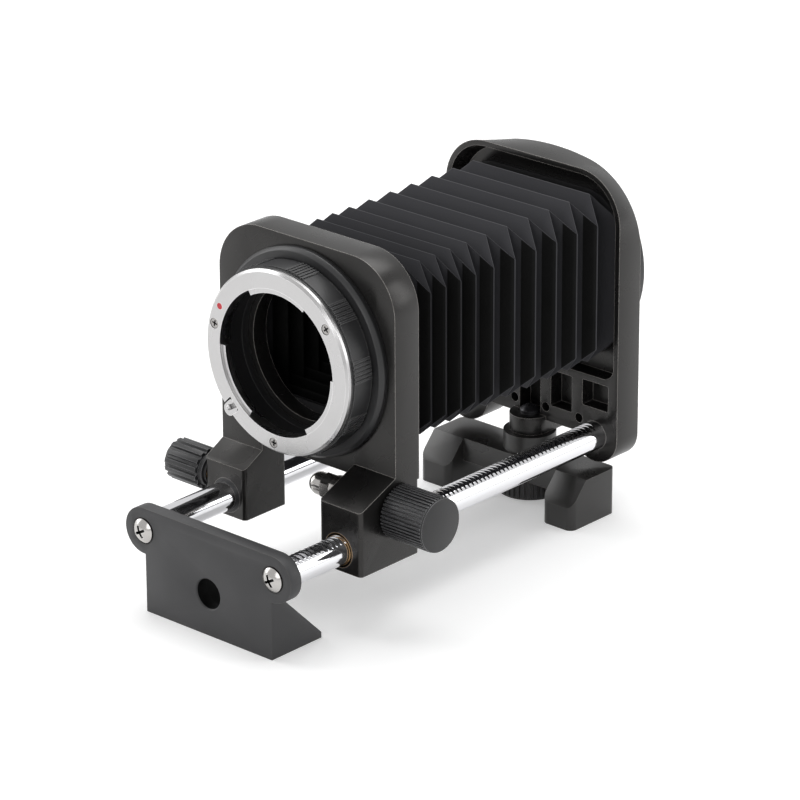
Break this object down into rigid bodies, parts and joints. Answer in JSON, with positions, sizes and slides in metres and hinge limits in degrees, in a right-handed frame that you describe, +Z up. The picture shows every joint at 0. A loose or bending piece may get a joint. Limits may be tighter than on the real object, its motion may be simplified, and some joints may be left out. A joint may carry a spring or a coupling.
{
  "type": "macro bellows unit",
  "caption": "Macro bellows unit: pleated bellows between two standards on a pair of rails, focused by rack and pinion, with lens and camera bayonets and a swivelling foot.",
  "frame": {"origin": "centre of the camera mount's face, on the optical axis", "axes": "+Y along the optical axis towards the camera, +X towards the focusing knob, +Z up"},
  "size_m": [0.11, 0.1783, 0.1194],
  "materials": {
    "black_anodised": "black anodised, satin",
    "black_casting": "die casting with fine black paint",
    "black_sheet": "matt black sheet",
    "chrome": "polished chrome",
    "satin_chrome": "satin chrome on brass, bright bevels",
    "turned_steel": "turned steel",
    "blackened_steel": "blackened steel",
    "brass": "plain bearing brass",
    "bellows_cloth": "matt black coated cloth",
    "black_plastic": "black moulded plastic",
    "white_nylon": "natural nylon",
    "red_enamel": "red enamel"
  },
  "bodies": {
    "frame": {"end_plate": "black_anodised", "end_plate_screws": "chrome", "plain_rail": "chrome", "rack_rail": "chrome", "rear_standard": "black_casting", "rear_rail_screws": "blackened_steel", "rear_bellows_frame": "black_sheet", "bellows": "bellows_cloth", "camera_flange": "black_anodised", "camera_bayonet": "satin_chrome", "camera_ring_screws": "blackened_steel", "post_screw": "blackened_steel", "post_stem": "turned_steel"},
    "carriage": {"front_standard": "black_casting", "brass_bushes": "brass", "black_bushes": "black_plastic", "front_bellows_frame": "black_sheet", "lens_flange": "black_anodised", "ribbed_collar": "black_anodised", "bayonet_ring": "satin_chrome", "bayonet_screws": "turned_steel", "index_dot": "red_enamel", "bearing_sleeve": "chrome", "outer_bearing": "brass", "clamp_insert": "brass"},
    "focus_drive": {"pinion_shaft": "turned_steel", "focus_knob": "black_plastic", "focus_collar": "black_plastic", "thrust_washer": "chrome", "cap_nut": "chrome"},
    "clamp": {"clamp_screw": "turned_steel", "clamp_knob": "black_plastic", "clamp_collar": "black_plastic"},
    "clamp_pad": {"clamp_plug": "white_nylon"},
    "lens_release": {"lens_lock": "chrome"},
    "foot": {"tripod_foot": "black_anodised"},
    "foot_lock": {"locking_disc": "black_anodised"}
  },
  "joints": [
    {"name": "carriage_slide", "type": "slide", "parent": "frame", "child": "carriage", "axis": [0, 1, 0], "range_m": [-0.0245, 0.066], "deforming": ["bellows"]},
    {"name": "focus_turn", "type": "hinge", "parent": "carriage", "child": "focus_drive", "pos_m": [0.028, -0.1252, -0.0436], "axis": [1, 0, 0], "range_deg": [-573.2, 213]},
    {"name": "clamp_turn", "type": "hinge", "parent": "carriage", "child": "clamp", "pos_m": [-0.0374, -0.1295, -0.0501], "axis": [-1, 0, 0], "range_deg": [0, 360]},
    {"name": "clamp_press", "type": "slide", "parent": "carriage", "child": "clamp_pad", "axis": [-1, 0, 0], "range_m": [0, 0.0008]},
    {"name": "lens_release_press", "type": "slide", "parent": "carriage", "child": "lens_release", "axis": [0, 1, 0], "range_m": [0, 0.0015], "stiffness_N_per_m": 600, "springref_m": -0.001},
    {"name": "foot_swivel", "type": "hinge", "parent": "frame", "child": "foot", "pos_m": [0, -0.0178, -0.0658], "axis": [0, 0, 1], "range_deg": [-90, 90]},
    {"name": "foot_lock_turn", "type": "hinge", "parent": "frame", "child": "foot_lock", "pos_m": [0, -0.0178, -0.078], "axis": [0, 0, -1], "range_deg": [0, 270]}
  ],
  "couplings": [
    {"joint": "focus_turn", "follows": "carriage_slide", "rad_per_m": -151.52},
    {"joint": "clamp_press", "follows": "clamp_turn", "m_per_rad": 0.00012732}
  ]
}
